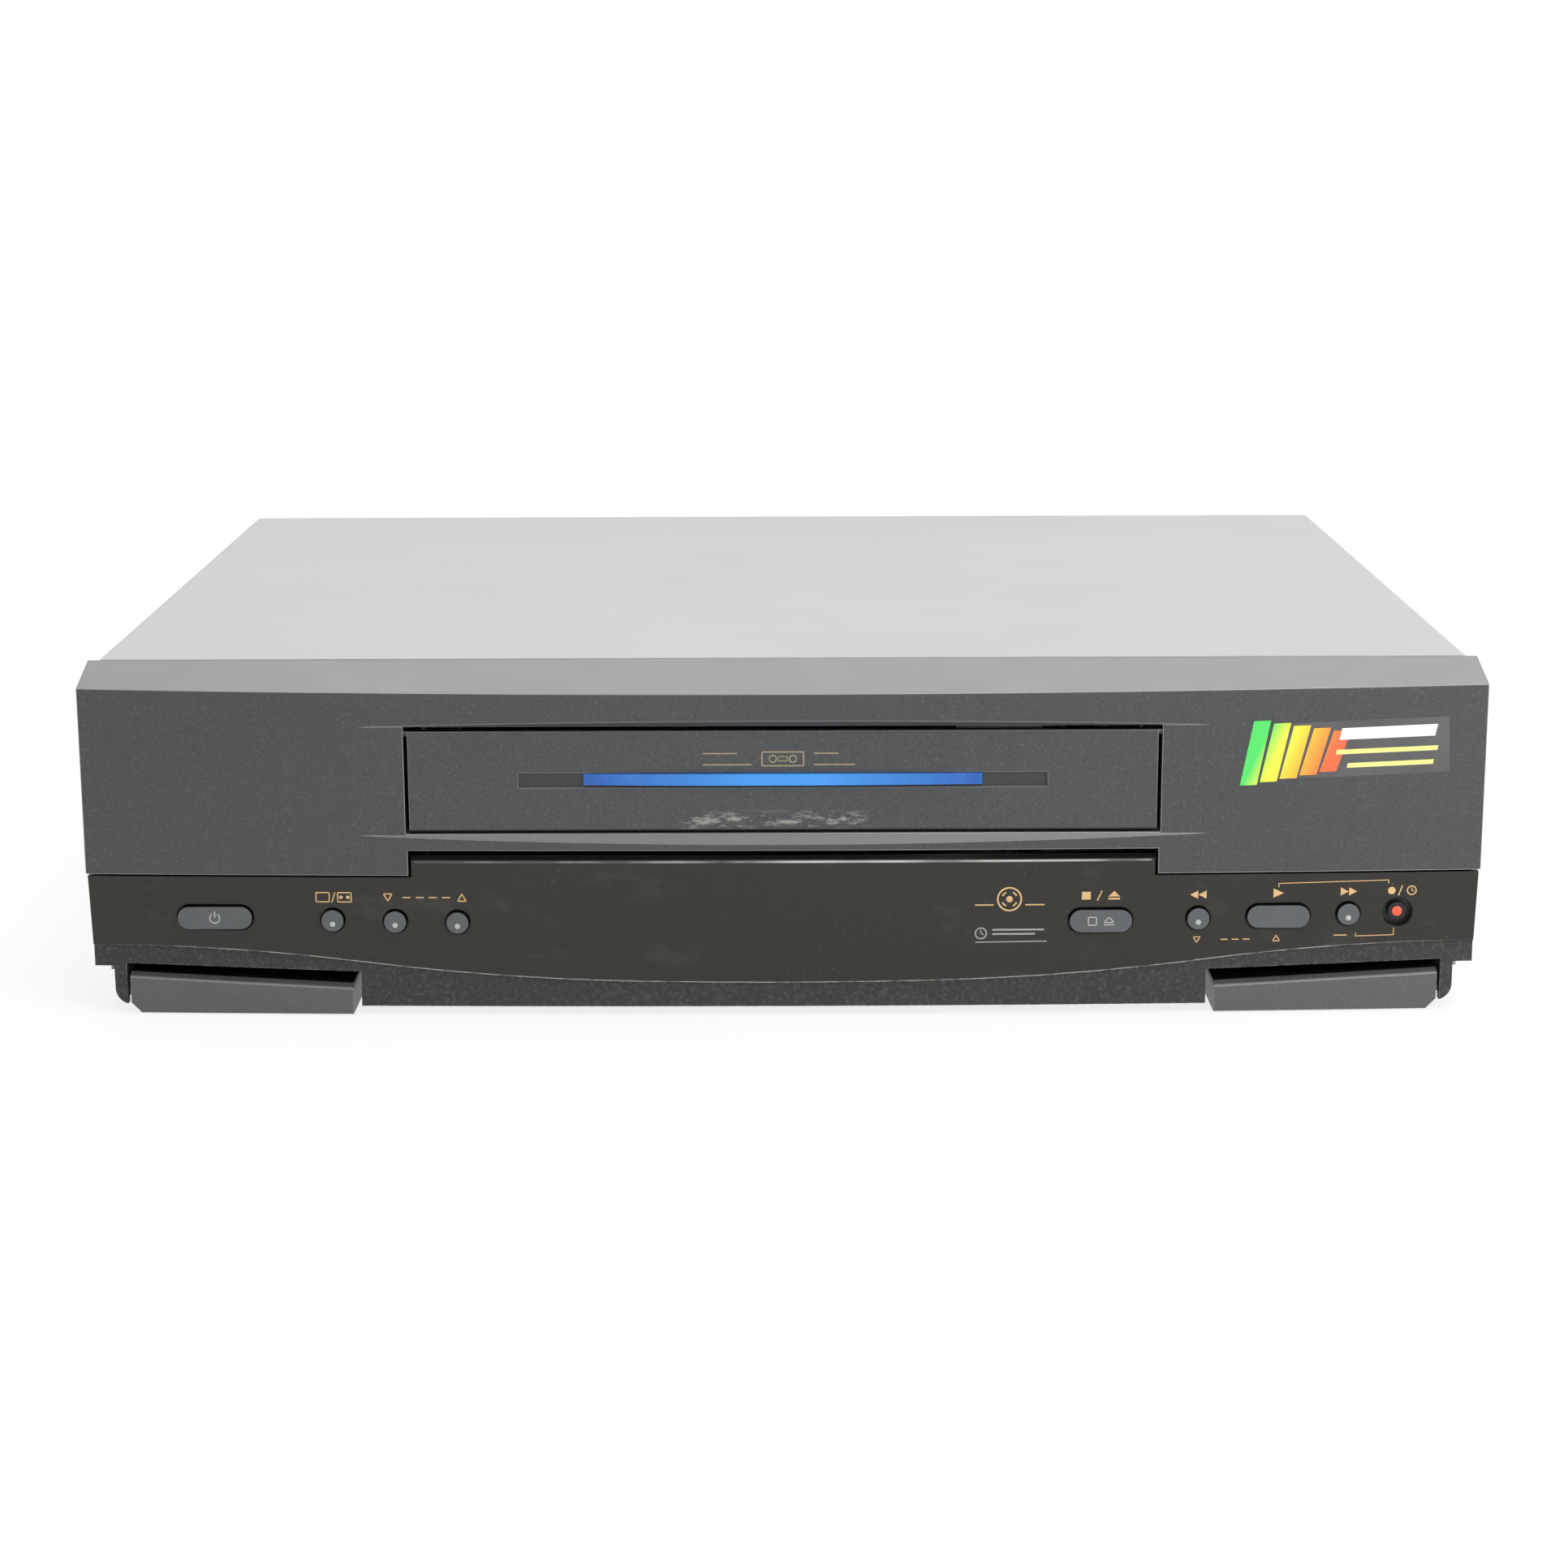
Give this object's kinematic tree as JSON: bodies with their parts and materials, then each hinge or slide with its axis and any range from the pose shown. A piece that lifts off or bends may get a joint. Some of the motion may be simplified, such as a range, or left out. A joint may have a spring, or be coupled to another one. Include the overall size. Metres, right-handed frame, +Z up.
{
  "type": "video cassette recorder",
  "caption": "Front-loading video cassette recorder with a bowed silver-grey front, hinged cassette door, dark control panel, tape deck and loading carriage inside",
  "frame": {"origin": "on the floor, under the middle of the box that holds the machine", "axes": "+X to the right of the front, +Y to the back, +Z up"},
  "size_m": [0.38, 0.3, 0.096],
  "materials": {
    "silver_plastic": "fine metallic grey, satin",
    "foot_plastic": "silver grey, satin",
    "dark_gloss_plastic": "dark grey, glossy",
    "skirt_plastic": "dark grey, fine grain",
    "button_plastic": "silver grey, satin",
    "blue_plastic": "clear blue",
    "rubber": "black, matt",
    "cover_paint": "grey paint, satin",
    "zinc_steel": "zinc-plated sheet",
    "tinned_steel": "tinned sheet",
    "polished_metal": "ground and polished",
    "aluminium": "extruded",
    "board": "brown circuit board",
    "black_plastic": "black",
    "ferrite": "grey ferrite",
    "display_glass": "smoked glass",
    "white_plastic": "white acetal"
  },
  "bodies": {
    "chassis": {"front_panel": "silver_plastic", "control_panel": "dark_gloss_plastic", "base_frame": "skirt_plastic", "front_foot_left": "foot_plastic", "front_foot_right": "foot_plastic", "foot_pads": "rubber", "top_cover": "cover_paint", "bottom_plate": "zinc_steel", "rear_panel": "zinc_steel", "cord_plate": "zinc_steel", "cord_gland": "black_plastic", "main_board": "board", "board_parts": "black_plastic", "tuner_can": "tinned_steel", "av_jacks": "tinned_steel", "power_transformer": "ferrite", "heat_sink": "aluminium", "key_board": "board", "key_switches": "black_plastic", "display_tube": "display_glass", "deck_plate": "zinc_steel", "lower_drum": "polished_metal", "erase_head": "ferrite", "audio_head": "ferrite", "loading_motor": "tinned_steel", "carriage_side_left": "zinc_steel", "carriage_side_right": "zinc_steel", "carriage_bridge": "zinc_steel"},
    "cassette_door": {"cassette_door": "silver_plastic", "door_accent_bar": "blue_plastic"},
    "lift_racks": {"rack_left": "white_plastic", "rack_right": "white_plastic"},
    "cassette_holder": {"cassette_holder": "zinc_steel"},
    "sync_shaft": {"sync_shaft": "polished_metal"},
    "power_button": {"power_button": "button_plastic"},
    "source_button": {"source_button": "button_plastic"},
    "channel_down_button": {"channel_down_button": "button_plastic"},
    "channel_up_button": {"channel_up_button": "button_plastic"},
    "stop_eject_button": {"stop_eject_button": "button_plastic"},
    "rewind_button": {"rewind_button": "button_plastic"},
    "play_button": {"play_button": "button_plastic"},
    "fast_forward_button": {"fast_forward_button": "button_plastic"},
    "record_button": {"record_button": "button_plastic"},
    "upper_drum": {"upper_drum": "polished_metal"},
    "capstan": {"capstan": "polished_metal"},
    "supply_reel": {"supply_reel": "black_plastic"},
    "takeup_reel": {"takeup_reel": "black_plastic"},
    "cam_gear": {"cam_gear": "white_plastic"},
    "supply_guide": {"supply_guide": "white_plastic"},
    "takeup_guide": {"takeup_guide": "white_plastic"},
    "loading_pinion": {"loading_pinion": "white_plastic"},
    "pinch_arm": {"pinch_arm": "zinc_steel"},
    "pinch_roller": {"pinch_roller": "rubber"}
  },
  "joints": [
    {"name": "door_hinge", "type": "hinge", "parent": "chassis", "child": "cassette_door", "pos_m": [0, -0.14679, 0.079], "axis": [-1, 0, 0], "range_deg": [-88, 0], "stiffness_Nm_per_rad": 0.002, "springref_deg": 11.46},
    {"name": "carriage_travel", "type": "slide", "parent": "chassis", "child": "lift_racks", "axis": [0, 1, 0], "range_m": [-0.058, 0]},
    {"name": "holder_lift", "type": "slide", "parent": "lift_racks", "child": "cassette_holder", "axis": [0, 0, -1], "range_m": [0, 0.026]},
    {"name": "sync_turn", "type": "hinge", "parent": "chassis", "child": "sync_shaft", "pos_m": [0, -0.07, 0.0835], "axis": [1, 0, 0], "range_deg": [-443.2, 0.1]},
    {"name": "power_press", "type": "slide", "parent": "chassis", "child": "power_button", "axis": [0, 1, 0], "range_m": [0, 0.0008], "stiffness_N_per_m": 300, "springref_m": -0.0005},
    {"name": "source_press", "type": "slide", "parent": "chassis", "child": "source_button", "axis": [0, 1, 0], "range_m": [0, 0.0008], "stiffness_N_per_m": 300, "springref_m": -0.0005},
    {"name": "channel_down_press", "type": "slide", "parent": "chassis", "child": "channel_down_button", "axis": [0, 1, 0], "range_m": [0, 0.0008], "stiffness_N_per_m": 300, "springref_m": -0.0005},
    {"name": "channel_up_press", "type": "slide", "parent": "chassis", "child": "channel_up_button", "axis": [0, 1, 0], "range_m": [0, 0.0008], "stiffness_N_per_m": 300, "springref_m": -0.0005},
    {"name": "stop_eject_press", "type": "slide", "parent": "chassis", "child": "stop_eject_button", "axis": [0, 1, 0], "range_m": [0, 0.0008], "stiffness_N_per_m": 300, "springref_m": -0.0005},
    {"name": "rewind_press", "type": "slide", "parent": "chassis", "child": "rewind_button", "axis": [0, 1, 0], "range_m": [0, 0.0008], "stiffness_N_per_m": 300, "springref_m": -0.0005},
    {"name": "play_press", "type": "slide", "parent": "chassis", "child": "play_button", "axis": [0, 1, 0], "range_m": [0, 0.0008], "stiffness_N_per_m": 300, "springref_m": -0.0005},
    {"name": "fast_forward_press", "type": "slide", "parent": "chassis", "child": "fast_forward_button", "axis": [0, 1, 0], "range_m": [0, 0.0008], "stiffness_N_per_m": 300, "springref_m": -0.0005},
    {"name": "record_press", "type": "slide", "parent": "chassis", "child": "record_button", "axis": [0, 1, 0], "range_m": [0, 0.0008], "stiffness_N_per_m": 300, "springref_m": -0.0005},
    {"name": "drum_spin", "type": "hinge", "parent": "chassis", "child": "upper_drum", "pos_m": [-0.008, 0.038, 0.031], "axis": [0, -0.0958, 0.9954], "continuous": true},
    {"name": "capstan_spin", "type": "hinge", "parent": "chassis", "child": "capstan", "pos_m": [0.058, -0.002, 0.02], "axis": [0, 0, 1], "continuous": true},
    {"name": "supply_reel_spin", "type": "hinge", "parent": "chassis", "child": "supply_reel", "pos_m": [-0.046, -0.069, 0.024], "axis": [0, 0, 1], "continuous": true},
    {"name": "takeup_reel_spin", "type": "hinge", "parent": "chassis", "child": "takeup_reel", "pos_m": [0.046, -0.069, 0.024], "axis": [0, 0, 1], "continuous": true},
    {"name": "cam_turn", "type": "hinge", "parent": "chassis", "child": "cam_gear", "pos_m": [0.072, 0.06, 0.0365], "axis": [0, 0, 1], "range_deg": [0, 250]},
    {"name": "supply_guide_travel", "type": "slide", "parent": "chassis", "child": "supply_guide", "axis": [-0.2356, 0.9719, 0], "range_m": [0, 0.06791]},
    {"name": "takeup_guide_travel", "type": "slide", "parent": "chassis", "child": "takeup_guide", "axis": [0.1009, 0.9949, 0], "range_m": [0, 0.07237]},
    {"name": "pinion_turn", "type": "hinge", "parent": "chassis", "child": "loading_pinion", "pos_m": [0.08575, 0.08382, 0.0365], "axis": [0, 0, 1], "range_deg": [-666.8, 0.1]},
    {"name": "pinch_swing", "type": "hinge", "parent": "chassis", "child": "pinch_arm", "pos_m": [0.084, 0.014, 0.0214], "axis": [0, 0, 1], "range_deg": [-23.5, 0]},
    {"name": "pinch_roller_spin", "type": "hinge", "parent": "pinch_arm", "child": "pinch_roller", "pos_m": [0.075, -0.0106, 0.031], "axis": [0, 0, 1], "continuous": true}
  ],
  "couplings": [
    {"joint": "sync_turn", "follows": "carriage_travel", "rad_per_m": 133.33},
    {"joint": "supply_guide_travel", "follows": "cam_turn", "m_per_rad": 0.015564},
    {"joint": "takeup_guide_travel", "follows": "cam_turn", "m_per_rad": 0.016586},
    {"joint": "pinion_turn", "follows": "cam_turn", "ratio": -2.6667}
  ]
}
